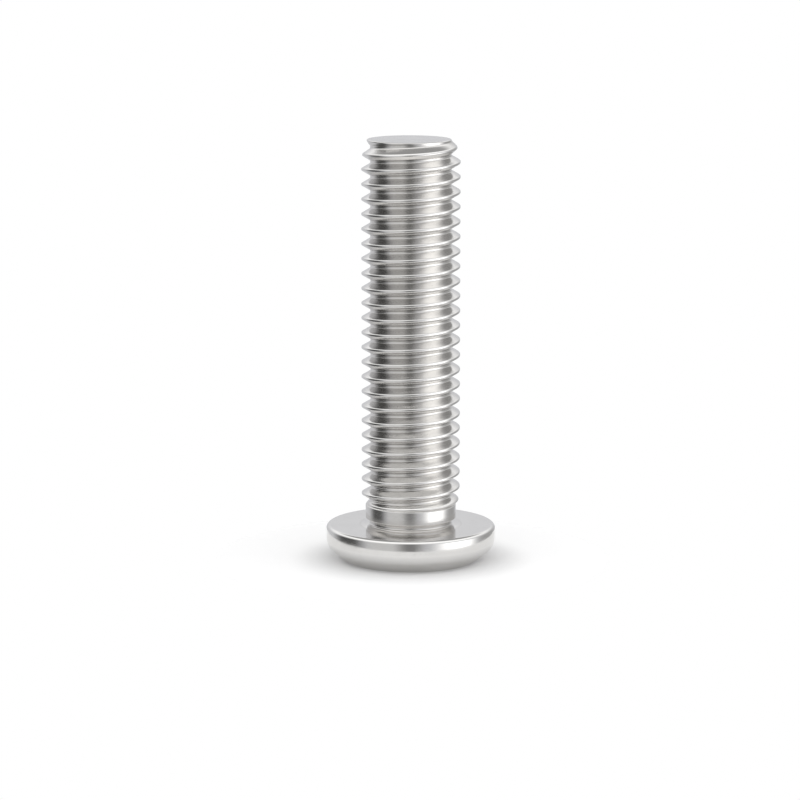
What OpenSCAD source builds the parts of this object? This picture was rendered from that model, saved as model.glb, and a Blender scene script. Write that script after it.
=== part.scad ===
// Furniture connector bolt in one piece: a low bevelled head with a hex socket, and a fully threaded shank.
// It stands on its head. The origin is the centre of the head's face, and +Z runs along the shank.

/* [Shank] */
// Length from the underside of the head to the end of the shank
shank_l = 39.2; // [20:0.1:60]
// Length of the tapered lead-in at the end
lead_l = 1.85; // [1:0.05:3]
// Depth of the lead-in below the crests, at the flat end
lead_depth = 0.58; // [0.3:0.01:0.8]

/* [Thread] */
// Nominal major diameter of the thread
thread_d = 10; // [8:0.1:12]
// Pitch of the thread
pitch = 1.5; // [1:0.05:2]
// Amount by which the crests stay under the nominal diameter, so that a nut runs freely
thread_allowance = 0.04; // [0:0.01:0.1]
// Length over which the thread fades out above the collar
runout_l = 0.8; // [0.5:0.1:4]
// Distance from the end to the nearest crest, on the +X side
end_crest = 0.75; // [0.1:0.05:1.4]

/* [Neck] */
// Amount by which the plain collar stands out from the blank that the thread is rolled on
collar_step = 0.07; // [0.03:0.01:0.2]
// Height of the collar
collar_h = 1.4; // [0.5:0.05:1.8]
// Height of the bevel under the collar
collar_bevel = 0.3; // [0.1:0.05:0.4]
// Depth of the relief groove below the collar
relief_depth = 0.43; // [0.2:0.01:0.6]
// Height of the relief groove between the collar and the head
relief_h = 0.7; // [0.5:0.05:1.4]
// Radius at the foot of the groove's wall
relief_round = 0.12; // [0.05:0.01:0.4]
// Height of the shallow flare from the flat underside up to the groove
flare_h = 0.12; // [0.05:0.01:0.2]
// Room around the crests, out to where the flat underside starts
flare_clearance = 0.17; // [0.1:0.01:0.4]

/* [Head] */
// Largest diameter of the head
head_d = 17.2; // [16:0.1:19]
// Height of the head
head_h = 3.6; // [3.4:0.1:4.5]
// Diameter of the flat face
face_d = 13.5; // [12:0.1:14.5]
// Height of the bevel between the face and the rim
bevel_h = 1.5; // [0.8:0.1:1.8]
// Radius between the bevel and the rim
bevel_round = 1.4; // [0.3:0.1:1.6]
// Radius between the rim and the underside
rim_round = 0.4; // [0.2:0.05:0.8]
// Radius that breaks the edge of the face
face_round = 0.12; // [0.05:0.01:0.3]

/* [Socket] */
// Width across flats of the hex key
key_w = 6; // [5:0.5:6.5]
// Clearance of the key in the socket, across flats
key_clearance = 0.12; // [0.05:0.01:0.3]
// Depth of the straight walls of the socket
socket_depth = 3.1; // [2.5:0.1:3.2]
// Width of the chamfer around the mouth
lip_w = 0.5; // [0.2:0.05:0.6]
// Width of the ledge between the walls and the cone at the bottom
ledge_w = 0.1; // [0.05:0.01:0.3]
// Depth of the cone below the walls
cone_depth = 0.5; // [0.3:0.05:0.7]
// Diameter of the punch mark in the middle of the cone
punch_d = 2; // [1:0.1:2.4]
// Depth of the punch mark below its own edge
punch_depth = 0.4; // [0.3:0.05:0.5]

/* [Hidden] */

// Fineness of the round stretches, and sides of one turn of the thread
round_sides = 96;
arc_steps = 7;
turn_sides = 40;
// Depth by which a cut starts outside the surface that it opens
overcut = 0.2;
// Thread features nearer than this to an end of the thread are drawn onto that end
end_snap = 0.02;
// Included angle of the metric thread form
flank_angle = 60;

head_r = head_d / 2;
face_r = face_d / 2;

// Heights along the bolt
collar_z = head_h + relief_h;
thread_z = collar_z + collar_h;
end_z = head_h + shank_l;
first_crest_z = thread_z + (end_z - end_crest - thread_z) % pitch;

// Metric form: the sharp V loses an eighth of its height at the crest, and a sixth at the root
v_height = pitch / 2 / tan(flank_angle / 2);
crest_r = (thread_d - thread_allowance) / 2;
pitch_r = thread_d / 2 - v_height * 3 / 8;
root_r = pitch_r - v_height / 3;
// Half the thickness of the ridge, measured along the axis, at its foot and at its crest
ridge_foot = ridge_half(root_r);
ridge_top = ridge_half(crest_r);

// Radii of the neck and of the end follow the thread
collar_r = pitch_r + collar_step;
relief_r = collar_r - relief_depth;
flare_r = crest_r + flare_clearance;
end_r = crest_r - lead_depth;

// Hex socket: half its width, corner radii of its walls and of its chamfered mouth, and its cone
hex = 6;
socket_half = (key_w + key_clearance) / 2;
socket_r = socket_half / cos(180 / hex);
mouth_r = (socket_half + lip_w) / cos(180 / hex);
cone_r = socket_half - ledge_w;

// Punch mark: a ball that meets the cone at the mark's edge
punch_r = punch_d / 2;
punch_edge_z = socket_depth + cone_depth * (1 - punch_r / cone_r);
ball_r = (punch_r * punch_r + punch_depth * punch_depth) / 2 / punch_depth;

function unit(v) = v / norm(v);
function clamp(x, low, high) = min(max(x, low), high);

// A corner at b between a and c, rounded by an arc that takes up less than half of either side
function rounded_corner(a, b, c, radius) =
    let (
        to_a = unit(a - b),
        to_c = unit(c - b),
        half = acos(to_a * to_c) / 2,
        room = 0.45 * min(norm(a - b), norm(c - b)),
        r = min(radius, room * tan(half)),
        centre = b + unit(to_a + to_c) * r / sin(half),
        start = b + to_a * r / tan(half) - centre,
        turn = sign(cross(to_a, to_c)) * (2 * half - 180),
        from = atan2(start.y, start.x)
    )
    [
        for (i = [0 : arc_steps])
            let (angle = from + turn * i / arc_steps)
            centre + r * [cos(angle), sin(angle)]
    ];

// An outline of [radius, height, corner radius] as plain points
function rounded_outline(corners) =
    let (n = len(corners), flat = [for (p = corners) [p.x, p.y]])
    [
        for (i = [0 : n - 1])
            each corners[i].z == 0
                ? [flat[i]]
                : rounded_corner(flat[(i + n - 1) % n], flat[i], flat[(i + 1) % n], corners[i].z)
    ];

// Half section of the head, the relief groove and the collar
module head_and_neck() {
    rotate_extrude($fn = round_sides)
        polygon(rounded_outline([
            [0, 0, 0],
            [face_r, 0, face_round],
            [head_r, bevel_h, bevel_round],
            [head_r, head_h, rim_round],
            [flare_r, head_h, 0],
            [relief_r, head_h + flare_h, relief_round],
            [relief_r, collar_z - collar_bevel, 0],
            [collar_r, collar_z, 0],
            [collar_r, thread_z, 0],
            [0, thread_z, 0]
        ]));
}

// Hex socket with a chamfered mouth, a conical bottom and a punch mark in its middle
module socket_cut() {
    lip_slope = (mouth_r - socket_r) / lip_w;
    translate([0, 0, -overcut])
        cylinder(r = socket_r, h = socket_depth + overcut, $fn = hex);
    translate([0, 0, -overcut])
        cylinder(r1 = mouth_r + overcut * lip_slope, r2 = socket_r, h = lip_w + overcut, $fn = hex);
    rotate_extrude($fn = round_sides)
        polygon([
            [0, socket_depth - overcut],
            [cone_r, socket_depth - overcut],
            [cone_r, socket_depth],
            [0, socket_depth + cone_depth]
        ]);
    translate([0, 0, punch_edge_z + punch_depth - ball_r])
        sphere(r = ball_r, $fn = round_sides);
}

// Half the thickness of the full ridge at a radius
function ridge_half(r) = pitch / 4 - (r - pitch_r) * tan(flank_angle / 2);

// Radius of the crests and of the roots at a height: they fade into the blank at the collar
// and stay inside the lead-in cone at the end
function fade(z) = sin(90 * clamp((z - thread_z) / runout_l, 0, 1));
function lead_r(z) = end_r + (crest_r - end_r) * max(end_z - z, 0) / lead_l;
function crest_at(z) = min(pitch_r + (crest_r - pitch_r) * fade(z), lead_r(z));
function root_at(z) = min(pitch_r - (pitch_r - root_r) * fade(z), lead_r(z));

// Radius of the thread at a height, where shift is the height of the ridge's middle within a pitch.
// A ridge that isn't full, as rolling leaves it at both ends, is lower and as thick as the others.
function thread_r(z, shift) =
    let (
        turns = (z - shift) / pitch,
        off_middle = abs(turns - round(turns)) * pitch,
        rise = clamp((ridge_foot - off_middle) / (ridge_foot - ridge_top), 0, 1)
    )
    root_at(z) + (crest_at(z) - root_at(z)) * rise;

function snapped(z) = z < thread_z + end_snap ? thread_z : z > end_z - end_snap ? end_z : z;

// One upright row of points: four for each pitch, at the foot and the crest of both flanks
function thread_column(side, last_turn) =
    let (angle = 360 * side / turn_sides, shift = first_crest_z + pitch * side / turn_sides)
    [
        for (turn = [-2 : last_turn], offset = [-ridge_foot, -ridge_top, ridge_top, ridge_foot])
            let (z = snapped(shift + pitch * turn + offset), r = thread_r(z, shift))
            [r * cos(angle), r * sin(angle), z]
    ];

function corners_differ(p, f) = p[f[0]] != p[f[1]] && p[f[1]] != p[f[2]] && p[f[2]] != p[f[0]];

// Right-hand thread as one closed skin: after a full turn each row joins the first one, a pitch higher
module thread() {
    last_turn = ceil((end_z - thread_z) / pitch) + 1;
    row_len = 4 * (last_turn + 3);
    points = [for (side = [0 : turn_sides - 1]) each thread_column(side, last_turn)];
    function at(side, i) =
        side < turn_sides ? side * row_len + i : min(i + 4, row_len - 1);
    skin = [
        for (side = [0 : turn_sides - 1], i = [0 : row_len - 2])
            each [
                [at(side, i), at(side, i + 1), at(side + 1, i)],
                [at(side, i + 1), at(side + 1, i + 1), at(side + 1, i)]
            ]
    ];
    lower_cap = [for (side = [0 : turn_sides - 1]) at(side, 0)];
    upper_cap = [for (side = [turn_sides - 1 : -1 : 0]) at(side, row_len - 1)];
    polyhedron(points, concat([for (f = skin) if (corners_differ(points, f)) f], [lower_cap, upper_cap]));
}

module connector_bolt() {
    color([0.78, 0.78, 0.77])
        union() {
            difference() {
                head_and_neck();
                socket_cut();
            }
            thread();
        }
}

connector_bolt();
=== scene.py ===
"""Finished surface of the plated furniture connector bolt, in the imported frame, with its pale studio."""

import math

import bmesh
import bpy
from bpy.props import FloatProperty, FloatVectorProperty, IntProperty, PointerProperty
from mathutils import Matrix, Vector


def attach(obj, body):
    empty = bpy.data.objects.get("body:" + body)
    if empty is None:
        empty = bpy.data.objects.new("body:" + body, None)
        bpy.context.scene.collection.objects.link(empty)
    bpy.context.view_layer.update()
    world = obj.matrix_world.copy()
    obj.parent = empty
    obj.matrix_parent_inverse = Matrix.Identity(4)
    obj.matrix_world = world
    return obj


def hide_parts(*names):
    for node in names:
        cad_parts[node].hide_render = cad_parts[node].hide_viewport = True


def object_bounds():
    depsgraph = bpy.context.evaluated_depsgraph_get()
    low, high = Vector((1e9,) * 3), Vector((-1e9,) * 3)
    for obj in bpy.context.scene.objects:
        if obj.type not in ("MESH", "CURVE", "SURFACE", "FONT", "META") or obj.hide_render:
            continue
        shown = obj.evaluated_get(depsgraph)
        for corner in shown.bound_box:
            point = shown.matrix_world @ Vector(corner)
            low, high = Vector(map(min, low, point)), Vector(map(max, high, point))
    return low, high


bl_info = {
    "name": "Connector Bolt",
    "version": (1, 0, 0),
    "blender": (4, 5, 0),
    "location": "View3D > Sidebar > Bolt",
    "description": "Builds a nickel plated connector bolt and the pale studio that shows it",
    "category": "Object",
}

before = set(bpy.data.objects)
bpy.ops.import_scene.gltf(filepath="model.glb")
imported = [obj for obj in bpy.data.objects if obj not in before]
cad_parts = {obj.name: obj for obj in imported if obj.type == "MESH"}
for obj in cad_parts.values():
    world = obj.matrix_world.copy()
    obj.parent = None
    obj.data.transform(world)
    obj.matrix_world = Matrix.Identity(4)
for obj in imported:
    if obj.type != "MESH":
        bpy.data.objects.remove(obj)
CAD_LOW, CAD_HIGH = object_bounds()
CAD_NODE = "connector_bolt"

MM = 0.001
MICRON = 0.001 * MM
TURN = 2 * math.pi
HEX_SIDES = 6
SIXTH = TURN / HEX_SIDES

# Side of the photograph in pixels, width of the camera's sensor in millimetres, and its reach in metres
PHOTO_SIDE = 800
SENSOR_W = 36.0
CLIP_NEAR, CLIP_FAR = 0.01, 20.0

# Finishes of the bolt, in the order of its material slots
ROLLED, BRIGHT, FACED, PUNCHED = range(4)

# Places across one pitch where the thread has a row of points, as shares of the pitch from the ridge's middle
HALF_ROWS = (0.04, 0.07, 0.1, 0.2, 0.3, 0.386, 0.417, 0.447)
THREAD_ROWS = tuple(-s for s in reversed(HALF_ROWS)) + (0.0,) + HALF_ROWS + (0.5,)
# Spare turns of rows below and above the thread, which are drawn onto its ends
TURNS_BELOW, TURNS_ABOVE = 2, 2
# Half of the angle between the thread's flanks
HALF_FLANK = math.radians(30)
# Shares of the thread's depth that are rubbed bright, with a painted highlight, at the crest, and filmed,
# with painted shade, at the root
RUBBED_SHEEN_DEPTH, FILM_SHADE_DEPTH = 0.15, 0.3

# Largest share of an outline's side that one rounded corner takes up
ARC_SHARE = 0.48
# Heights below this count as the head's face
FACE_TOLERANCE = 1e-4 * MM
# Rings of the end face, as shares of its radius
END_RINGS = (0.9, 0.6, 0.3)
# Room between the corners of the socket's mouth and the innermost round ring of the head's face
FACE_SEAM = 0.5 * MM
# Edges that turn by more than this stay sharp, and the weight of large faces in the normals
SHARP_ANGLE = math.radians(40)
NORMAL_WEIGHT = 80

# Hex socket: points along a flat and in a corner, steps in a broken edge,
# and rings of the cone and of the punch mark
FLAT_POINTS, CORNER_POINTS, EDGE_STEPS, CONE_RINGS, PUNCH_RINGS = 8, 6, 4, 6, 9
# Radius at the foot of the walls, length of the stubs that lead the wall's outline in and out,
# and growth of a corner's radius with the width of the chamfer
FOOT_ROUND, WALL_STUB, CORNER_GROWTH = 0.05 * MM, 0.3 * MM, 0.7
# Film with painted shade at the foot of the walls, on the cone and in the punch mark, and wear with a painted
# highlight on the mark's edge
FOOT_FILM_SHADE, CONE_FILM_SHADE, PUNCH_FILM_SHADE, PUNCH_WEAR_SHEEN = 0.6, 0.3, 0.25, 0.6

# Small clouds of haze: their scale and strength beside those of the broad ones
SMALL_CLOUD_SCALE, SMALL_CLOUD_SHARE = 7.0, 0.35
# Broad and fine lines around the axis: how fast they change along each axis, to the metre,
# and the strength of the fine ones
BROAD_LINES, FINE_LINES = (160.0, 160.0, 5200.0), (420.0, 420.0, 16000.0)
FINE_LINE_SHARE = 0.5
# Rings on the flat faces: how fast they change, how far they waver, and the scales of that and of their wear
RING_LINES, RING_WAVER = 9000.0, 0.12 * MM
WAVER_SCALE, RING_WEAR_SCALE = 190.0, 420.0
# Two sets of scratches: their lean in radians, and how fast they change along each axis, to the metre
SCRATCH_SETS = (
    ((0.4, 0.9, 0.2), (260.0, 5200.0, 300.0)),
    ((1.1, 0.3, 2.2), (4800.0, 300.0, 260.0)),
)
# Half width of a scratch, in the tone of its noise, and scales of the scratched patches and of the grain
SCRATCH_HALF_W = 0.012
PATCH_SCALE, GRAIN_SCALE = 330.0, 9000.0

# Sides of the round floor, and its distance below the head's face
FLOOR_SIDES = 128
FLOOR_GAP = 0.01 * MM

# Panels in front of the light tent's walls: azimuth of the middle, half of the plain width and half of the
# whole width with the soft edges, in degrees, and tone. Azimuth 0 is towards the photograph's camera, and
# the azimuth grows to that camera's right.
TENT_PANELS = (
    # Grey wall beside the camera, and the gap for its lens
    (-25, 20, 50, 0.72),
    (-1, 2, 26, 0.26),
    # Black flag on the left
    (-95, 8, 40, 0.10),
    # Soft box on the right
    (68, 6, 46, 2.05),
    # Grey flag at the edge of the soft box
    (130, 6, 44, 0.44),
)
# Elevations, in degrees, between which a panel that is brighter than white fades out at its top
BRIGHT_PANEL_TOP = (0, 12)
# Elevations, in degrees, between which the walls rise to the roof's tone
ROOF_RISE = (5, 45)
# Dim hatch in the roof: angle by which its axis leans away from the camera, and the soft rim around it,
# in degrees above the plane across that axis
HATCH_LEAN = math.radians(20)
HATCH_RIM = (44, 60)
WHITE = (1.0, 1.0, 1.0, 1.0)


def length(name, description, default):
    """A size that a user may change, given in millimetres and kept in metres."""
    return FloatProperty(
        name=name, description=description, default=default * MM, min=0.0, unit="LENGTH", precision=5
    )


def colour(name, description, default):
    """A colour that a user may change."""
    return FloatVectorProperty(
        name=name, description=description, default=default, size=3, min=0.0, max=1.0, subtype="COLOR"
    )


def share(name, description, default, high=1.0):
    """A plain number from 0 up that a user may change."""
    return FloatProperty(
        name=name, description=description, default=default, min=0.0, max=high, subtype="FACTOR"
    )


def count(name, description, default, low, high):
    """A whole number that a user may change."""
    return IntProperty(name=name, description=description, default=default, min=low, max=high)


class BoltSizes(bpy.types.PropertyGroup):
    """Sizes of the bolt"""

    overall_l: length("Overall length", "From the head's face to the end of the shank", CAD_HIGH.z / MM)
    head_d: length("Head diameter", "Largest diameter of the head", (CAD_HIGH.x - CAD_LOW.x) / MM)
    head_h: length("Head height", "From the face to the underside", 3.6)
    face_d: length("Face diameter", "Diameter of the flat face", 13.5)
    bevel_h: length("Bevel height", "Height of the bevel between the face and the rim", 1.5)
    bevel_round: length("Bevel round", "Radius between the bevel and the rim", 1.4)
    rim_round: length("Rim round", "Radius between the rim and the underside", 0.4)
    face_round: length("Face round", "Radius that breaks the edge of the face", 0.12)
    relief_h: length("Relief height", "Height of the groove under the collar", 0.7)
    relief_depth: length("Relief depth", "Depth of the groove under the collar", 0.43)
    relief_round: length("Relief round", "Radius at the foot of the groove's wall", 0.12)
    flare_h: length("Flare height", "Height of the shallow flare from the underside up to the groove", 0.12)
    flare_clearance: length("Flare clearance", "Room around the crests, out to the flat underside", 0.17)
    flare_round: length("Flare round", "Radius where the flare meets the flat underside", 1.5)
    collar_h: length("Collar height", "Height of the plain collar", 1.4)
    collar_bevel: length("Collar bevel", "Height of the bevel under the collar", 0.3)
    collar_step: length("Collar step", "Amount by which the collar stands out from the blank", 0.07)
    collar_round: length("Collar round", "Radius of the collar's edges", 0.07)
    thread_d: length("Thread diameter", "Diameter over the crests", 9.96)
    nominal_d: length("Nominal diameter", "Nominal diameter, which sets the depth of the thread", 10.0)
    pitch: length("Pitch", "Height of one turn of the thread", 1.5)
    crest_round: length("Crest round", "Depth over which a crest's edges are rounded", 0.07)
    root_round: length("Root round", "Depth over which a root's corners are rounded", 0.09)
    runout_l: length("Run-out", "Height over which the thread fades out above the collar", 0.8)
    lead_l: length("Lead-in length", "Length of the taper at the end", 1.85)
    lead_depth: length("Lead-in depth", "Depth of the taper below the crests", 0.58)
    end_crest: length("End crest", "Distance from the end to the nearest crest, on the +X side", 0.75)
    end_round: length("End round", "Radius that breaks the edge of the end", 0.1)
    key_w: length("Socket width", "Width across flats of the hex socket", 6.12)
    key_round: length("Socket corners", "Radius in the corners of the hex socket", 0.14)
    lip_w: length("Lip width", "Width of the chamfer around the socket", 0.5)
    lip_round: length("Lip round", "Radius that breaks the chamfer's edges", 0.07)
    socket_depth: length("Socket depth", "Depth of the socket's straight walls", 3.1)
    ledge_w: length("Ledge width", "Width of the ledge at the foot of the walls", 0.1)
    cone_depth: length("Cone depth", "Depth of the cone below the walls", 0.5)
    punch_d: length("Punch mark diameter", "Diameter of the mark in the middle of the cone", 2.0)
    punch_depth: length("Punch mark depth", "Depth of the mark in the middle of the cone", 0.4)
    columns: count("Columns", "Points around the bolt", 144, 36, 288)
    arc_steps: count("Arc steps", "Steps in each rounded corner", 8, 2, 24)


class PlatingLook(bpy.types.PropertyGroup):
    """Colours and polish of the plating"""

    bright: colour("Bright plate", "Clean nickel plate", (0.70, 0.69, 0.675))
    clouded: colour("Clouded plate", "Nickel plate with a breath of haze", (0.655, 0.645, 0.63))
    # Darker tint for roots, grooves and corners: a thin film, and painted shade in those recesses
    tarnish_and_shade: colour("Recess tint", "Thin film left in roots, grooves and corners", (0.50, 0.475, 0.44))
    # Lighter tone for the edges: rubbed plate, and a painted highlight along them
    wear_and_sheen: colour("Polished edge", "Plate rubbed bright along the edges", (0.77, 0.765, 0.755))
    rolled_roughness: share("Thread roughness", "Roughness of the rolled thread, where clean", 0.13)
    bright_roughness: share("Rim roughness", "Roughness of the rim, underside and neck, where clean", 0.07)
    faced_roughness: share("Face roughness", "Roughness of the flat faces, where clean", 0.13)
    punched_roughness: share("Socket roughness", "Roughness inside the socket, where clean", 0.16)


class StudioLook(bpy.types.PropertyGroup):
    """Camera, floor and light tent"""

    floor_colour: colour("Floor", "Colour of the pale floor", (0.94, 0.94, 0.94))
    floor_r: length("Floor radius", "Radius of the round pale floor", 20.0)
    opening_r: length("Floor opening", "Radius of the opening that lets light onto the head's face", 6.72)
    floor_glow: share("Floor glow", "Light that the open floor adds where it is seen or mirrored", 0.2, 2.0)
    # Between these radii the floor's glow fades in, so the floor inside them is a painted shadow around the
    # head
    glow_start_r: length("Glow start", "Radius where the floor's glow starts", 8.0)
    glow_full_r: length("Glow full", "Radius where the floor's glow is full", 13.0)
    walls: colour("Tent walls", "Colour of the light tent's walls", (0.70, 0.705, 0.73))
    roof_tone: share("Tent roof", "Tone of the light tent's slanting roof", 1.45, 2.0)
    hatch_tone: share("Tent hatch", "Tone of the dim hatch in the roof", 0.4, 2.0)
    camera_d: length("Camera distance", "Distance of the camera from the bolt's axis", 320.0)
    camera_h: length("Camera height", "Height of the camera above the floor", 72.9)
    camera_side: length("Camera offset", "Distance of the camera to the left of the axis", 1.09)
    camera_tilt: FloatProperty(
        name="Camera tilt",
        description="Angle of the camera below the horizon",
        default=math.radians(10.02),
        subtype="ANGLE",
    )
    focal_px: FloatProperty(
        name="Focal length",
        description="Focal length in pixels of the photograph",
        default=3209.0,
        min=100.0,
        subtype="PIXEL",
    )


class Skin:
    """The bolt's closed surface, gathered ring by ring, with its marks, finishes and creased rings"""

    def __init__(self):
        # Marks of each point: edges that get a lighter tone for wear and a painted highlight, and recesses
        # that get a darker tone for a film and painted shade
        self.points, self.wear_and_sheen, self.recess = [], [], []
        self.faces, self.finish = [], []
        self.creases = []

    def point(self, r, angle, z, wear_and_sheen=0.0, recess=0.0):
        self.points.append((r * math.cos(angle), r * math.sin(angle), z))
        self.wear_and_sheen.append(wear_and_sheen)
        self.recess.append(recess)
        return len(self.points) - 1

    def ring(self, angles, radius, z, wear_and_sheen=0.0, recess=0.0):
        """One point at each angle; radius is a number or a list with one number for each angle."""
        radii = radius if isinstance(radius, list) else [radius] * len(angles)
        return [self.point(r, a, z, wear_and_sheen, recess) for r, a in zip(radii, angles)]

    def face(self, corners, finish):
        """A face from corners that may coincide."""
        kept = [c for i, c in enumerate(corners) if c != corners[i - 1]]
        if len(set(kept)) >= 3:
            self.faces.append(kept)
            self.finish.append(finish)

    def band(self, first, second, finish):
        for i in range(len(first)):
            self.face((first[i - 1], first[i], second[i], second[i - 1]), finish)

    def fan(self, ring, tip, finish):
        for i in range(len(ring)):
            self.face((ring[i - 1], ring[i], tip), finish)

    def seam(self, outer, outer_angles, inner, inner_angles, finish):
        """Joins two rings that have their points at different angles, both in rising order from 0."""
        i, j = 0, 0
        while i < len(outer) or j < len(inner):
            next_outer = outer_angles[i + 1] if i + 1 < len(outer) else TURN + outer_angles[0]
            next_inner = inner_angles[j + 1] if j + 1 < len(inner) else TURN + inner_angles[0]
            a, b = outer[i % len(outer)], inner[j % len(inner)]
            if j >= len(inner) or (i < len(outer) and next_outer <= next_inner):
                self.face((a, outer[(i + 1) % len(outer)], b), finish)
                i += 1
            else:
                self.face((a, inner[(j + 1) % len(inner)], b), finish)
                j += 1


def eased(t):
    """A rise from 0 to 1 that levels out."""
    return math.sin(math.pi / 2 * min(max(t, 0.0), 1.0))


def soft_min(a, b, width):
    """The smaller of two heights, rounded where they cross."""
    if width <= 0:
        return min(a, b)
    h = max(width - abs(a - b), 0.0) / width
    return min(a, b) - h * h * width / 4


def soft_max(a, b, width):
    return -soft_min(-a, -b, width)


def rounded_outline(corners, steps):
    """Points [radius, height, edge mark, recess mark] of an open outline of [radius, height, corner radius].
    A corner that stands out is marked for wear and a painted highlight, and one that is sunk is marked
    recess, for a film and painted shade."""
    outline = []
    for i, (r, z, radius) in enumerate(corners):
        b = Vector((r, z))
        if radius <= 0 or i in (0, len(corners) - 1):
            outline.append((r, z, 0.0, 0.0))
            continue
        a, c = Vector(corners[i - 1][:2]), Vector(corners[i + 1][:2])
        to_a, to_c = (a - b).normalized(), (c - b).normalized()
        half = to_a.angle(to_c) / 2
        room = ARC_SHARE * min((a - b).length, (c - b).length)
        arc_r = min(radius, room * math.tan(half))
        centre = b + (to_a + to_c).normalized() * (arc_r / math.sin(half))
        start = b + to_a * (arc_r / math.tan(half)) - centre
        bend = to_a.x * to_c.y - to_a.y * to_c.x
        sweep = math.copysign(math.pi - 2 * half, -bend)
        for k in range(steps + 1):
            turn = sweep * k / steps
            x = start.x * math.cos(turn) - start.y * math.sin(turn)
            y = start.x * math.sin(turn) + start.y * math.cos(turn)
            mark = math.sin(math.pi * k / steps)
            outline.append((centre.x + x, centre.y + y, mark * (bend > 0), mark * (bend < 0)))
    return outline


class ThreadForm:
    """Radii of the rolled thread: metric form, faded out at the collar and tapered at the end"""

    def __init__(self, s, thread_z, end_z):
        self.s, self.thread_z, self.end_z = s, thread_z, end_z
        # Metric form: the sharp V loses an eighth of its height at the crest, and a sixth at the root
        slope = math.tan(HALF_FLANK)
        v_height = s.pitch / 2 / slope
        self.crest_r = s.thread_d / 2
        self.pitch_r = s.nominal_d / 2 - v_height * 3 / 8
        self.root_r = self.pitch_r - v_height / 3
        self.end_r = self.crest_r - s.lead_depth
        self.first_crest_z = thread_z + (end_z - s.end_crest - thread_z) % s.pitch
        self.depth = self.crest_r - self.root_r
        self.ridge_foot = s.pitch / 4 + (self.pitch_r - self.root_r) * slope
        self.ridge_top = s.pitch / 4 - (self.crest_r - self.pitch_r) * slope

    def at(self, z, off_middle):
        """Radius at a height, off_middle away from the ridge's middle along the axis, and its marks."""
        s = self.s
        fade = eased((z - self.thread_z) / s.runout_l)
        lead = self.end_r + (self.crest_r - self.end_r) * max(self.end_z - z, 0.0) / s.lead_l
        crest = min(self.pitch_r + (self.crest_r - self.pitch_r) * fade, lead)
        root = self.pitch_r - (self.pitch_r - self.root_r) * fade
        rise = (self.ridge_foot - off_middle) / (self.ridge_foot - self.ridge_top)
        rise = soft_min(soft_max(rise, 0.0, s.root_round / self.depth), 1.0, s.crest_round / self.depth)
        # Crests are marked for wear and a painted highlight, and roots for a film and painted shade
        wear_and_sheen = max(0.0, 1 - (1 - rise) / RUBBED_SHEEN_DEPTH) * fade
        recess = max(0.0, 1 - rise / FILM_SHADE_DEPTH) * fade
        return root + (crest - root) * rise, wear_and_sheen, recess


def add_thread(skin, s, form, top_z):
    """The thread as one skin of helical rows. Returns its lowest and its highest ring."""
    n, per_pitch = s.columns, len(THREAD_ROWS)
    turns = TURNS_BELOW + math.ceil((top_z - form.thread_z) / s.pitch) + TURNS_ABOVE
    rows = per_pitch * turns
    grid = []
    for j in range(n):
        angle = TURN * j / n
        column, last_z = [], None
        for i in range(rows):
            offset = THREAD_ROWS[i % per_pitch] * s.pitch
            z = form.first_crest_z + s.pitch * (j / n + i // per_pitch - TURNS_BELOW) + offset
            z = min(max(z, form.thread_z), top_z)
            if z == last_z:
                column.append(column[-1])
                continue
            last_z = z
            phase = (z - form.first_crest_z) / s.pitch - j / n
            r, wear_and_sheen, recess = form.at(z, abs(phase - round(phase)) * s.pitch)
            column.append(skin.point(r, angle, z, wear_and_sheen, recess))
        grid.append(column)
    grid.append([grid[0][min(i + per_pitch, rows - 1)] for i in range(rows)])
    for j in range(n):
        for i in range(rows - 1):
            a, b = grid[j], grid[j + 1]
            skin.face((a[i], b[i], b[i + 1], a[i + 1]), ROLLED)
    return [grid[j][0] for j in range(n)], [grid[j][-1] for j in range(n)]


def hexagon(half_w, corner_r):
    """Angles and radii of a rounded hexagon with corners on the X axis, in rising order from 0."""
    reach = half_w - corner_r
    corner_c = reach / math.cos(SIXTH / 2)
    half_flat = reach * math.tan(SIXTH / 2)
    half_corner = CORNER_POINTS // 2
    side = []
    for k in range(half_corner + 1):
        t = SIXTH * k / CORNER_POINTS
        side.append((corner_c + corner_r * math.cos(t), corner_r * math.sin(t)))
    mid = Vector((math.cos(SIXTH / 2), math.sin(SIXTH / 2)))
    along = Vector((-mid.y, mid.x))
    for k in range(1, FLAT_POINTS + 1):
        p = mid * half_w + along * half_flat * (2 * k / FLAT_POINTS - 1)
        side.append((p.x, p.y))
    for k in range(1, half_corner):
        t = SIXTH / 2 * (1 - 2 * k / CORNER_POINTS)
        x, y = corner_c + corner_r * math.cos(t), -corner_r * math.sin(t)
        side.append((x * math.cos(SIXTH) - y * math.sin(SIXTH), x * math.sin(SIXTH) + y * math.cos(SIXTH)))
    polar = [(math.atan2(y, x), math.hypot(x, y)) for x, y in side]
    return [(a + SIXTH * k, r) for k in range(HEX_SIDES) for a, r in polar]


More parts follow.
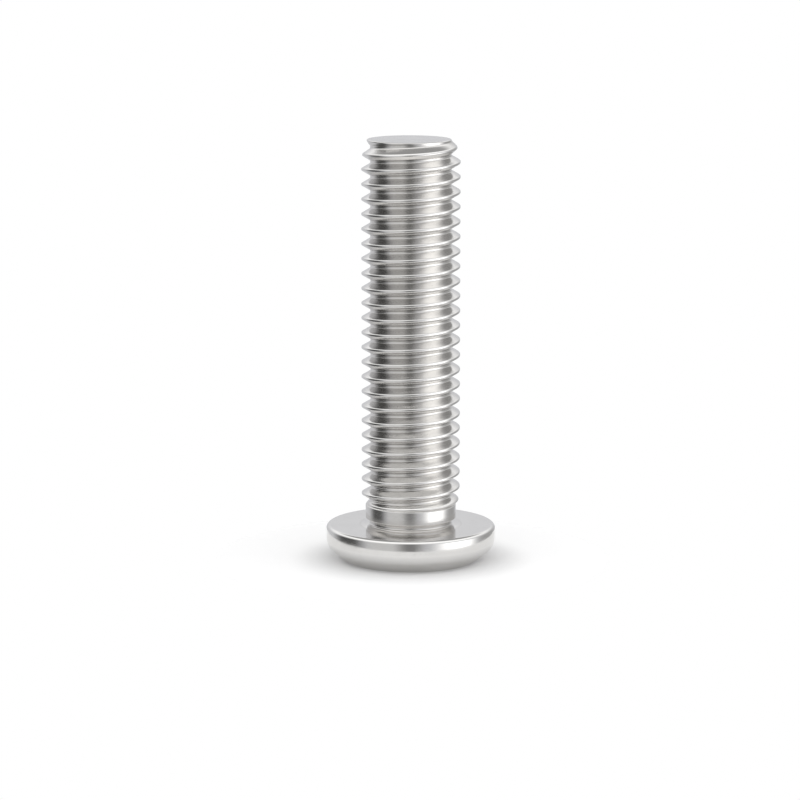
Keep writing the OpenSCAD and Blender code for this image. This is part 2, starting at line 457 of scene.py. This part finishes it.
def add_socket(skin, s, face_ring, face_angles):
    """The hex socket, from the chamfer around its mouth to the punch mark at its bottom."""
    half_w = s.key_w / 2
    wall = rounded_outline(
        [
            [half_w + s.lip_w + WALL_STUB, 0.0, 0.0],
            [half_w + s.lip_w, 0.0, s.lip_round],
            [half_w, s.lip_w, s.lip_round],
            [half_w, s.socket_depth, FOOT_ROUND],
            [half_w - WALL_STUB, s.socket_depth, 0.0],
        ],
        EDGE_STEPS,
    )[1:-1]
    last = face_ring
    # The chamfer's edges get wear with a painted highlight, and the foot of the walls a film with painted
    # shade
    for k, (w, z, wear_and_sheen, recess) in enumerate(wall):
        polar = hexagon(w, s.key_round + max(0.0, w - half_w) * CORNER_GROWTH)
        angles = [a for a, _ in polar]
        ring = skin.ring(angles, [r for _, r in polar], z, wear_and_sheen, recess)
        if k == 0:
            skin.seam(last, face_angles, ring, angles, FACED)
        else:
            skin.band(last, ring, PUNCHED)
        last = ring

    # Bottom: a narrow ledge, a cone and the punch mark, which is part of a ball
    cone_r = half_w - s.ledge_w
    punch_r = s.punch_d / 2
    edge_z = s.socket_depth + s.cone_depth * (1 - punch_r / cone_r)
    ball_r = (punch_r**2 + s.punch_depth**2) / 2 / s.punch_depth
    ball_z = edge_z + s.punch_depth - ball_r
    # Film with painted shade at the foot of the walls, fading out over the cone, and in the punch mark
    rings = [(cone_r, s.socket_depth, 0.0, FOOT_FILM_SHADE)]
    for k in range(1, CONE_RINGS):
        t = k / CONE_RINGS
        r = cone_r + (punch_r - cone_r) * t
        z = s.socket_depth + (edge_z - s.socket_depth) * t
        rings.append((r, z, 0.0, CONE_FILM_SHADE * (1 - t)))
    opening = math.asin(punch_r / ball_r)
    for k in range(PUNCH_RINGS):
        t = opening * (1 - k / PUNCH_RINGS)
        # The punch mark's edge gets wear with a painted highlight, and its inside a film with painted shade
        wear_and_sheen, recess = (0.0, PUNCH_FILM_SHADE) if k else (PUNCH_WEAR_SHEEN, 0.0)
        rings.append((ball_r * math.sin(t), ball_z + ball_r * math.cos(t), wear_and_sheen, recess))
    for r, z, wear_and_sheen, recess in rings:
        ring = skin.ring(angles, r, z, wear_and_sheen, recess)
        skin.band(last, ring, PUNCHED)
        last = ring
    skin.fan(last, skin.point(0.0, 0.0, ball_z + ball_r, 0.0, PUNCH_FILM_SHADE), PUNCHED)


def bolt_skin(s):
    """The whole bolt as one closed surface."""
    skin = Skin()
    angles = [TURN * j / s.columns for j in range(s.columns)]
    collar_z = s.head_h + s.relief_h
    thread_z = collar_z + s.collar_h
    end_z = s.overall_l
    form = ThreadForm(s, thread_z, end_z)

    top_z = end_z - s.end_round
    low_ring, high_ring = add_thread(skin, s, form, top_z)
    # The foot of the thread meets the collar in a crease
    skin.creases.append(low_ring)

    # End face: its broken edge follows the thread, and rings run in to the centre
    radii = [math.hypot(*skin.points[i][:2]) for i in high_ring]
    last = high_ring
    for k in range(1, s.arc_steps + 1):
        t = math.pi / 2 * k / s.arc_steps
        inset = s.end_round * (1 - math.cos(t))
        z = top_z + s.end_round * math.sin(t)
        # The broken edge gets wear with a painted highlight
        ring = skin.ring(angles, [r - inset for r in radii], z, wear_and_sheen=math.sin(2 * t))
        skin.band(last, ring, BRIGHT)
        last = ring
    for inner in END_RINGS:
        ring = skin.ring(angles, [(r - s.end_round) * inner for r in radii], end_z)
        skin.band(last, ring, FACED)
        last = ring
    skin.fan(last, skin.point(0.0, 0.0, end_z), FACED)

    # Collar, relief groove, head and face, from the thread down
    collar_r = form.pitch_r + s.collar_step
    relief_r = collar_r - s.relief_depth
    head_r, face_r = s.head_d / 2, s.face_d / 2
    mouth_r = (s.key_w / 2 + s.lip_w) / math.cos(SIXTH / 2)
    outline = rounded_outline(
        [
            [form.pitch_r, thread_z, 0.0],
            [collar_r, thread_z - s.collar_step, s.collar_round],
            [collar_r, collar_z, s.collar_round],
            [relief_r, collar_z - s.collar_bevel, s.collar_round],
            [relief_r, s.head_h + s.flare_h, s.relief_round],
            [form.crest_r + s.flare_clearance, s.head_h, s.flare_round],
            [head_r, s.head_h, s.rim_round],
            [head_r, s.bevel_h, s.bevel_round],
            [face_r, 0.0, s.face_round],
            [mouth_r + FACE_SEAM, 0.0, 0.0],
        ],
        s.arc_steps,
    )
    last, last_z = low_ring, thread_z
    # Corners that stand out get wear with a painted highlight, and sunk ones a film with painted shade
    for r, z, wear_and_sheen, recess in outline[1:]:
        ring = skin.ring(angles, r, z, wear_and_sheen, recess)
        if z > collar_z:
            finish = ROLLED
        elif max(z, last_z) < FACE_TOLERANCE:
            finish = FACED
        else:
            finish = BRIGHT
        skin.band(last, ring, finish)
        last, last_z = ring, z
    add_socket(skin, s, last, angles)
    return skin


def new_node(tree, kind, values=(), **settings):
    """A node with its settings and the values of its input sockets, by name or index."""
    node = tree.nodes.new(kind)
    for key, value in settings.items():
        setattr(node, key, value)
    for key, value in dict(values).items():
        node.inputs[key].default_value = value
    return node


def feed(tree, socket, value):
    """Links a socket to the one that feeds it, or sets it to a plain value."""
    if isinstance(value, bpy.types.NodeSocket):
        tree.links.new(value, socket)
    else:
        socket.default_value = value


def math_node(tree, operation, a, b=None, clamp=False):
    """A math node fed by sockets or numbers. Returns its output."""
    node = new_node(tree, "ShaderNodeMath", operation=operation, use_clamp=clamp)
    feed(tree, node.inputs[0], a)
    if b is not None:
        feed(tree, node.inputs[1], b)
    return node.outputs[0]


def mapped(tree, value, low, high, to_low, to_high, smooth=False):
    """A value moved from one range to another and kept inside it."""
    node = new_node(tree, "ShaderNodeMapRange", clamp=True)
    node.interpolation_type = "SMOOTHSTEP" if smooth else "LINEAR"
    names = ("Value", "From Min", "From Max", "To Min", "To Max")
    for name, v in zip(names, (value, low, high, to_low, to_high)):
        feed(tree, node.inputs[name], v)
    return node.outputs[0]


def mixed_colour(tree, factor, a, b):
    """Two colours mixed by a factor; each is a socket or a colour."""
    node = new_node(tree, "ShaderNodeMix", data_type="RGBA")
    # The node has sockets for several kinds of data, and colours use these
    for i, v in ((0, factor), (6, a), (7, b)):
        feed(tree, node.inputs[i], v)
    return node.outputs[2]


def noise(tree, vector, scale, detail=2.0, roughness=0.5, distortion=0.0):
    """Noise over a vector; scale is a socket or a number. Returns its value."""
    values = {"Detail": detail, "Roughness": roughness, "Distortion": distortion}
    node = new_node(tree, "ShaderNodeTexNoise", values)
    tree.links.new(vector, node.inputs["Vector"])
    feed(tree, node.inputs["Scale"], scale)
    return node.outputs["Fac"]


def scaled(tree, vector, factors):
    node = new_node(tree, "ShaderNodeVectorMath", {1: factors}, operation="MULTIPLY")
    tree.links.new(vector, node.inputs[0])
    return node.outputs[0]


def new_group(name, inputs, outputs):
    """An empty shader node group. Returns it with its input and output nodes."""
    group = bpy.data.node_groups.new(name, "ShaderNodeTree")
    for label, kind, default in inputs:
        socket = group.interface.new_socket(label, in_out="INPUT", socket_type=kind)
        socket.default_value = default
    for label, kind in outputs:
        group.interface.new_socket(label, in_out="OUTPUT", socket_type=kind)
    return group, new_node(group, "NodeGroupInput"), new_node(group, "NodeGroupOutput")


def object_place(tree):
    return new_node(tree, "ShaderNodeTexCoord").outputs["Object"]


def surface_mark(tree, name):
    return new_node(tree, "ShaderNodeAttribute", attribute_name=name).outputs["Fac"]


def plate_tone_group(look):
    """Nickel plate: soft clouds of haze, a thin film with painted shade in recesses, and rubbed bright edges
    with a painted highlight.
    """
    group, given, made = new_group(
        "plate_tone",
        [
            ("Cloud Scale", "NodeSocketFloat", 300.0),
            ("Haze", "NodeSocketFloat", 1.0),
            ("Film And Shade", "NodeSocketFloat", 0.5),
            ("Edge Polish And Sheen", "NodeSocketFloat", 0.7),
        ],
        [("Color", "NodeSocketColor"), ("Cloud", "NodeSocketFloat"), ("Edge", "NodeSocketFloat")],
    )
    place = object_place(group)
    broad = noise(group, place, given.outputs["Cloud Scale"], 3.0, 0.55, 0.3)
    fine_scale = math_node(group, "MULTIPLY", given.outputs["Cloud Scale"], SMALL_CLOUD_SCALE)
    fine = noise(group, place, fine_scale, 2.0, 0.6)
    both = math_node(group, "ADD", broad, math_node(group, "MULTIPLY", fine, SMALL_CLOUD_SHARE))
    cloud = mapped(group, both, 0.45, 0.9, 0.0, 1.0, True)
    haze = math_node(group, "MULTIPLY", cloud, given.outputs["Haze"], clamp=True)
    tone = mixed_colour(group, haze, (*look.bright, 1.0), (*look.clouded, 1.0))
    # Darker tint in recesses: a thin film and painted shade
    patchy = mapped(group, fine, 0.3, 0.7, 0.55, 1.0)
    film_and_shade = math_node(group, "MULTIPLY", surface_mark(group, "recess"), patchy)
    film_and_shade = math_node(group, "MULTIPLY", film_and_shade, given.outputs["Film And Shade"], clamp=True)
    tone = mixed_colour(group, film_and_shade, tone, (*look.tarnish_and_shade, 1.0))
    # Lighter tone along edges: rubbed plate and a painted highlight
    rubbed_sheen = mapped(group, broad, 0.35, 0.65, 0.5, 1.0)
    edge = math_node(group, "MULTIPLY", surface_mark(group, "wear_and_sheen"), rubbed_sheen)
    edge = math_node(group, "MULTIPLY", edge, given.outputs["Edge Polish And Sheen"], clamp=True)
    tone = mixed_colour(group, edge, tone, (*look.wear_and_sheen, 1.0))
    for name, value in (("Color", tone), ("Cloud", cloud), ("Edge", edge)):
        group.links.new(value, made.inputs[name])
    return group


def rolling_streaks_group():
    """Fine lines around the axis, as rolling and turning leave them on round surfaces."""
    group, given, made = new_group(
        "rolling_streaks",
        [("Line Scale", "NodeSocketFloat", 1.0)],
        [("Height", "NodeSocketFloat"), ("Streak", "NodeSocketFloat")],
    )
    place = object_place(group)
    line_scale = given.outputs["Line Scale"]
    broad = noise(group, scaled(group, place, BROAD_LINES), line_scale, 3.0, 0.6)
    fine = noise(group, scaled(group, place, FINE_LINES), line_scale, 2.0, 0.6)
    height = math_node(group, "ADD", broad, math_node(group, "MULTIPLY", fine, FINE_LINE_SHARE))
    streak = mapped(group, broad, 0.38, 0.68, 0.0, 1.0, True)
    group.links.new(height, made.inputs["Height"])
    group.links.new(streak, made.inputs["Streak"])
    return group


def turning_rings_group():
    """Faint rings around the axis on the flat faces."""
    group, given, made = new_group(
        "turning_rings",
        [("Ring Scale", "NodeSocketFloat", 1.0)],
        [("Height", "NodeSocketFloat"), ("Ring", "NodeSocketFloat")],
    )
    place = object_place(group)
    flat = scaled(group, place, (1.0, 1.0, 0.0))
    reach = new_node(group, "ShaderNodeVectorMath", operation="LENGTH")
    group.links.new(flat, reach.inputs[0])
    waver = math_node(group, "MULTIPLY", noise(group, place, WAVER_SCALE), RING_WAVER)
    along = math_node(group, "ADD", reach.outputs["Value"], waver)
    spread = new_node(group, "ShaderNodeCombineXYZ")
    group.links.new(math_node(group, "MULTIPLY", along, RING_LINES), spread.inputs[0])
    rings = noise(group, spread.outputs[0], given.outputs["Ring Scale"], 3.0, 0.6)
    wear_and_sheen = noise(group, place, RING_WEAR_SCALE)
    height = math_node(group, "MULTIPLY", rings, mapped(group, wear_and_sheen, 0.35, 0.65, 0.35, 1.0))
    group.links.new(height, made.inputs["Height"])
    group.links.new(mapped(group, rings, 0.4, 0.65, 0.0, 1.0, True), made.inputs["Ring"])
    return group


def handling_group():
    """Hairline scratches and fine grain from handling in bulk."""
    group, given, made = new_group(
        "handling_marks",
        [("Amount", "NodeSocketFloat", 0.5)],
        [("Scratch", "NodeSocketFloat"), ("Grain", "NodeSocketFloat")],
    )
    place = object_place(group)
    lines = None
    for lean, stretch in SCRATCH_SETS:
        turn = new_node(group, "ShaderNodeMapping", {"Rotation": lean, "Scale": stretch})
        group.links.new(place, turn.inputs["Vector"])
        field = noise(group, turn.outputs[0], 1.0, 1.0, 0.4, 0.15)
        off_line = math_node(group, "ABSOLUTE", math_node(group, "SUBTRACT", field, 0.5))
        line = mapped(group, off_line, 0.0, SCRATCH_HALF_W, 1.0, 0.0)
        lines = line if lines is None else math_node(group, "MAXIMUM", lines, line)
    patches = mapped(group, noise(group, place, PATCH_SCALE), 0.5, 0.66, 0.0, 1.0, True)
    scratch = math_node(group, "MULTIPLY", lines, patches)
    scratch = math_node(group, "MULTIPLY", scratch, given.outputs["Amount"], clamp=True)
    grain = noise(group, place, GRAIN_SCALE, 2.0, 0.6)
    group.links.new(scratch, made.inputs["Scratch"])
    group.links.new(grain, made.inputs["Grain"])
    return group


class PlatedFinish:
    """A metal material of the bolt, built up from the shared groups"""

    def __init__(self, name, groups, cloud_scale, haze, film_and_shade, edge_polish_and_sheen):
        self.material = bpy.data.materials.new(name)
        self.material.use_nodes = True
        self.tree = self.material.node_tree
        self.tree.nodes.clear()
        self.groups = groups
        self.shader = new_node(self.tree, "ShaderNodeBsdfPrincipled", {"Metallic": 1.0})
        output = new_node(self.tree, "ShaderNodeOutputMaterial")
        self.tree.links.new(self.shader.outputs[0], output.inputs["Surface"])
        self.tone = self.use(
            "plate_tone",
            {"Cloud Scale": cloud_scale, "Haze": haze, "Film And Shade": film_and_shade, "Edge Polish And Sheen": edge_polish_and_sheen},
        )
        self.tree.links.new(self.tone.outputs["Color"], self.shader.inputs["Base Color"])

    def use(self, name, values):
        """One of the shared groups, with its own values."""
        return new_node(self.tree, "ShaderNodeGroup", values, node_tree=self.groups[name])

    def polish(self, clean, parts):
        """Roughness of the clean plate, moved by each (mask, change) pair."""
        value = clean
        for mask, change in parts:
            value = math_node(self.tree, "ADD", math_node(self.tree, "MULTIPLY", mask, change), value)
        self.tree.links.new(value, self.shader.inputs["Roughness"])

    def relief(self, parts):
        """Bump from (height, depth in microns) pairs."""
        total = None
        for height, depth in parts:
            step = math_node(self.tree, "MULTIPLY", height, depth)
            total = step if total is None else math_node(self.tree, "ADD", total, step)
        bump = new_node(self.tree, "ShaderNodeBump", {"Strength": 1.0, "Distance": MICRON})
        self.tree.links.new(total, bump.inputs["Height"])
        self.tree.links.new(bump.outputs["Normal"], self.shader.inputs["Normal"])


def bolt_finishes(look):
    """The four finishes of the bolt, in the order of its material slots."""
    groups = {
        "plate_tone": plate_tone_group(look),
        "rolling_streaks": rolling_streaks_group(),
        "turning_rings": turning_rings_group(),
        "handling_marks": handling_group(),
    }

    # In each finish, the last two values set the film with painted shade in recesses, and the rubbed plate
    # with a painted highlight along edges
    rolled = PlatedFinish("rolled_thread", groups, cloud_scale=340.0, haze=0.9, film_and_shade=0.15, edge_polish_and_sheen=0.6)
    streaks = rolled.use("rolling_streaks", {"Line Scale": 1.0})
    marks = rolled.use("handling_marks", {"Amount": 0.5})
    rolled.polish(
        look.rolled_roughness,
        [
            (streaks.outputs["Streak"], 0.06),
            (rolled.tone.outputs["Cloud"], 0.05),
            (rolled.tone.outputs["Edge"], -0.06),
            (marks.outputs["Scratch"], 0.1),
        ],
    )
    rolled.relief([(streaks.outputs["Height"], 2.2), (marks.outputs["Grain"], 0.7)])

    bright = PlatedFinish("bright_plate", groups, cloud_scale=260.0, haze=0.7, film_and_shade=0.45, edge_polish_and_sheen=0.6)
    streaks = bright.use("rolling_streaks", {"Line Scale": 0.6})
    marks = bright.use("handling_marks", {"Amount": 0.7})
    bright.polish(
        look.bright_roughness,
        [
            (streaks.outputs["Streak"], 0.03),
            (bright.tone.outputs["Cloud"], 0.05),
            (marks.outputs["Scratch"], 0.12),
        ],
    )
    bright.relief(
        [
            (streaks.outputs["Height"], 0.9),
            (marks.outputs["Grain"], 0.4),
            (marks.outputs["Scratch"], -0.8),
        ]
    )

    faced = PlatedFinish("faced_plate", groups, cloud_scale=420.0, haze=0.8, film_and_shade=0.4, edge_polish_and_sheen=0.6)
    rings = faced.use("turning_rings", {"Ring Scale": 1.0})
    marks = faced.use("handling_marks", {"Amount": 0.9})
    faced.polish(
        look.faced_roughness,
        [
            (rings.outputs["Ring"], 0.05),
            (faced.tone.outputs["Cloud"], 0.05),
            (marks.outputs["Scratch"], 0.1),
        ],
    )
    faced.relief(
        [
            (rings.outputs["Height"], 1.4),
            (marks.outputs["Grain"], 0.8),
            (marks.outputs["Scratch"], -0.8),
        ]
    )

    punched = PlatedFinish("punched_socket", groups, cloud_scale=520.0, haze=0.9, film_and_shade=0.6, edge_polish_and_sheen=0.7)
    marks = punched.use("handling_marks", {"Amount": 0.6})
    punched.polish(
        look.punched_roughness,
        [
            (punched.tone.outputs["Cloud"], 0.07),
            (punched.tone.outputs["Edge"], -0.05),
            (marks.outputs["Scratch"], 0.1),
        ],
    )
    punched.relief([(marks.outputs["Grain"], 1.2), (marks.outputs["Scratch"], -0.6)])
    return [finish.material for finish in (rolled, bright, faced, punched)]


def skin_object(name, skin, materials):
    """A mesh object from a skin, with its marks and finishes."""
    mesh = bpy.data.meshes.new(name)
    mesh.from_pydata(skin.points, [], skin.faces)
    for material in materials:
        mesh.materials.append(material)
    mesh.polygons.foreach_set("material_index", skin.finish)
    # Marks for edges, which get wear and a painted highlight, and for recesses, which get a film and painted
    # shade
    for mark, values in (("wear_and_sheen", skin.wear_and_sheen), ("recess", skin.recess)):
        mesh.attributes.new(mark, "FLOAT", "POINT").data.foreach_set("value", values)
    shape = bmesh.new()
    shape.from_mesh(mesh)
    bmesh.ops.recalc_face_normals(shape, faces=shape.faces)
    open_edges = sum(not e.is_manifold for e in shape.edges)
    shape.to_mesh(mesh)
    shape.free()
    if open_edges:
        raise RuntimeError(f"{name} has {open_edges} edges that don't join two faces")
    mesh.shade_smooth()
    mesh.set_sharp_from_angle(angle=SHARP_ANGLE)
    # Rolled surfaces are smooth, apart from their creases
    rolled = {key for p in mesh.polygons if p.material_index == ROLLED for key in p.edge_keys}
    creased = {tuple(sorted((ring[i - 1], ring[i]))) for ring in skin.creases for i in range(len(ring))}
    for edge in mesh.edges:
        if edge.key in rolled:
            edge.use_edge_sharp = edge.key in creased
    obj = bpy.data.objects.new(name, mesh)
    bpy.context.scene.collection.objects.link(obj)
    weighted = obj.modifiers.new("face_weighted_normals", "WEIGHTED_NORMAL")
    weighted.keep_sharp = True
    weighted.weight = NORMAL_WEIGHT
    return obj


class BOLT_OT_plated_bolt(bpy.types.Operator):
    """Builds the plated bolt: threaded shank, collar, relief groove, bevelled head and hex socket"""

    bl_idname = "bolt.plated_bolt"
    bl_label = "Plated Bolt"

    def execute(self, context):
        skin = bolt_skin(context.scene.bolt_sizes)
        obj = skin_object("plated_bolt", skin, bolt_finishes(context.scene.bolt_plating))
        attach(obj, "root")
        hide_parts(CAD_NODE)
        return {"FINISHED"}


def floor_material(look):
    """Pale floor that keeps the shadow. It glows a little where it is seen, and is clear from below. Near the
    bolt the glow fades out, which paints a darker shadow around the head that the head's bevel also mirrors.
    """
    material = bpy.data.materials.new("pale_floor")
    material.use_nodes = True
    tree = material.node_tree
    tree.nodes.clear()
    path = new_node(tree, "ShaderNodeLightPath")
    seen = math_node(tree, "MAXIMUM", path.outputs["Is Camera Ray"], path.outputs["Is Glossy Ray"])
    seen = math_node(tree, "MAXIMUM", seen, path.outputs["Is Transmission Ray"])
    matte = new_node(tree, "ShaderNodeBsdfDiffuse", {"Color": (*look.floor_colour, 1.0)})
    glow = new_node(tree, "ShaderNodeEmission", {"Color": WHITE})
    reach = new_node(tree, "ShaderNodeVectorMath", operation="LENGTH")
    tree.links.new(object_place(tree), reach.inputs[0])
    # No glow near the bolt, rising to full glow further out: a painted shadow around the head
    glow_outside_painted_shadow = mapped(
        tree, reach.outputs["Value"], look.glow_start_r, look.glow_full_r, 0.0, look.floor_glow, True
    )
    tree.links.new(math_node(tree, "MULTIPLY", seen, glow_outside_painted_shadow), glow.inputs["Strength"])
    both = new_node(tree, "ShaderNodeAddShader")
    tree.links.new(matte.outputs[0], both.inputs[0])
    tree.links.new(glow.outputs[0], both.inputs[1])
    clear = new_node(tree, "ShaderNodeBsdfTransparent")
    side = new_node(tree, "ShaderNodeNewGeometry")
    sided = new_node(tree, "ShaderNodeMixShader")
    tree.links.new(side.outputs["Backfacing"], sided.inputs[0])
    tree.links.new(both.outputs[0], sided.inputs[1])
    tree.links.new(clear.outputs[0], sided.inputs[2])
    output = new_node(tree, "ShaderNodeOutputMaterial")
    tree.links.new(sided.outputs[0], output.inputs["Surface"])
    return material


def elevation_step(tree, height, degrees, to_low, to_high):
    """A soft step between two elevations in degrees; height is the sine of the elevation."""
    low, high = (math.sin(math.radians(e)) for e in degrees)
    return mapped(tree, height, low, high, to_low, to_high, True)


def grey(tone):
    return (tone, tone, tone, 1.0)


def light_tent(look):
    """World: white where it is seen, straight or through something clear, and a light tent for other rays."""
    world = bpy.data.worlds.new("light_tent")
    world.use_nodes = True
    tree = world.node_tree
    tree.nodes.clear()
    way = new_node(tree, "ShaderNodeTexCoord").outputs["Generated"]
    axes = new_node(tree, "ShaderNodeSeparateXYZ")
    tree.links.new(way, axes.inputs[0])
    height = axes.outputs["Z"]
    towards_camera = math_node(tree, "MULTIPLY", axes.outputs["Y"], -1.0)
    azimuth = math_node(tree, "ARCTAN2", axes.outputs["X"], towards_camera)
    azimuth = math_node(tree, "DEGREES", azimuth)

    tent = (*look.walls, 1.0)
    for middle, plain, whole, tone in TENT_PANELS:
        away = math_node(tree, "ABSOLUTE", math_node(tree, "SUBTRACT", azimuth, float(middle)))
        cover = mapped(tree, away, float(plain), float(whole), 1.0, 0.0, True)
        if tone > 1.0:
            top = elevation_step(tree, height, BRIGHT_PANEL_TOP, 1.0, 0.0)
            cover = math_node(tree, "MULTIPLY", cover, top)
        tent = mixed_colour(tree, cover, tent, grey(tone))

    rise = elevation_step(tree, height, ROOF_RISE, 0.0, 1.0)
    tent = mixed_colour(tree, rise, tent, grey(look.roof_tone))
    hatch_axis = (0.0, math.sin(HATCH_LEAN), math.cos(HATCH_LEAN))
    along_axis = new_node(tree, "ShaderNodeVectorMath", {1: hatch_axis}, operation="DOT_PRODUCT")
    tree.links.new(way, along_axis.inputs[0])
    hatch = elevation_step(tree, along_axis.outputs["Value"], HATCH_RIM, 0.0, 1.0)
    tent = mixed_colour(tree, hatch, tent, grey(look.hatch_tone))

    path = new_node(tree, "ShaderNodeLightPath")
    direct = math_node(tree, "MAXIMUM", path.outputs["Is Camera Ray"], path.outputs["Is Transmission Ray"])
    seen = mixed_colour(tree, direct, tent, WHITE)
    light = new_node(tree, "ShaderNodeBackground", {"Strength": 1.0})
    tree.links.new(seen, light.inputs["Color"])
    output = new_node(tree, "ShaderNodeOutputWorld")
    tree.links.new(light.outputs[0], output.inputs["Surface"])
    return world


def floor_mesh(look):
    """Round floor, facing up, with an opening under the head's face."""
    turns = [TURN * i / FLOOR_SIDES for i in range(FLOOR_SIDES)]
    corners = [(r * math.cos(t), r * math.sin(t), 0.0) for r in (look.floor_r, look.opening_r) for t in turns]
    outer = list(range(FLOOR_SIDES))
    inner = [i + FLOOR_SIDES for i in outer]
    sides = [(outer[i - 1], outer[i], inner[i], inner[i - 1]) for i in outer]
    mesh = bpy.data.meshes.new("studio_floor")
    mesh.from_pydata(corners, [], sides)
    mesh.materials.append(floor_material(look))
    return mesh


class BOLT_OT_studio(bpy.types.Operator):
    """Sets the stage: pale floor, light tent and camera"""

    bl_idname = "bolt.studio"
    bl_label = "Studio"

    def execute(self, context):
        scene, look = context.scene, context.scene.bolt_studio
        floor = bpy.data.objects.new("studio_floor", floor_mesh(look))
        floor.location.z = -FLOOR_GAP
        scene.collection.objects.link(floor)

        scene.world = light_tent(look)
        scene.view_settings.view_transform = "Standard"

        lens = bpy.data.cameras.new("photo_camera")
        lens.sensor_width = SENSOR_W
        lens.lens = look.focal_px * lens.sensor_width / PHOTO_SIDE
        lens.clip_start, lens.clip_end = CLIP_NEAR, CLIP_FAR
        camera = bpy.data.objects.new("photo_camera", lens)
        camera.location = (-look.camera_side, -look.camera_d, look.camera_h)
        camera.rotation_euler = (math.pi / 2 - look.camera_tilt, 0.0, 0.0)
        scene.collection.objects.link(camera)
        scene.camera = camera
        return {"FINISHED"}


class BOLT_PT_panel(bpy.types.Panel):
    """Sizes, plating and studio of the bolt"""

    bl_idname = "BOLT_PT_panel"
    bl_label = "Connector Bolt"
    bl_space_type = "VIEW_3D"
    bl_region_type = "UI"
    bl_category = "Bolt"

    def draw(self, context):
        for operator, title, group in (
            ("bolt.plated_bolt", "Sizes", context.scene.bolt_sizes),
            (None, "Plating", context.scene.bolt_plating),
            ("bolt.studio", "Studio", context.scene.bolt_studio),
        ):
            box = self.layout.box()
            box.label(text=title)
            for name in group.bl_rna.properties.keys():
                if name not in ("rna_type", "name"):
                    box.prop(group, name)
            if operator:
                box.operator(operator)


CLASSES = (BoltSizes, PlatingLook, StudioLook, BOLT_OT_plated_bolt, BOLT_OT_studio, BOLT_PT_panel)


def register():
    for cls in CLASSES:
        bpy.utils.register_class(cls)
    bpy.types.Scene.bolt_sizes = PointerProperty(type=BoltSizes)
    bpy.types.Scene.bolt_plating = PointerProperty(type=PlatingLook)
    bpy.types.Scene.bolt_studio = PointerProperty(type=StudioLook)


def unregister():
    del bpy.types.Scene.bolt_sizes, bpy.types.Scene.bolt_plating, bpy.types.Scene.bolt_studio
    for cls in reversed(CLASSES):
        bpy.utils.unregister_class(cls)


def main():
    register()
    bpy.ops.bolt.plated_bolt()
    bpy.ops.bolt.studio()


if __name__ == "__main__":
    main()
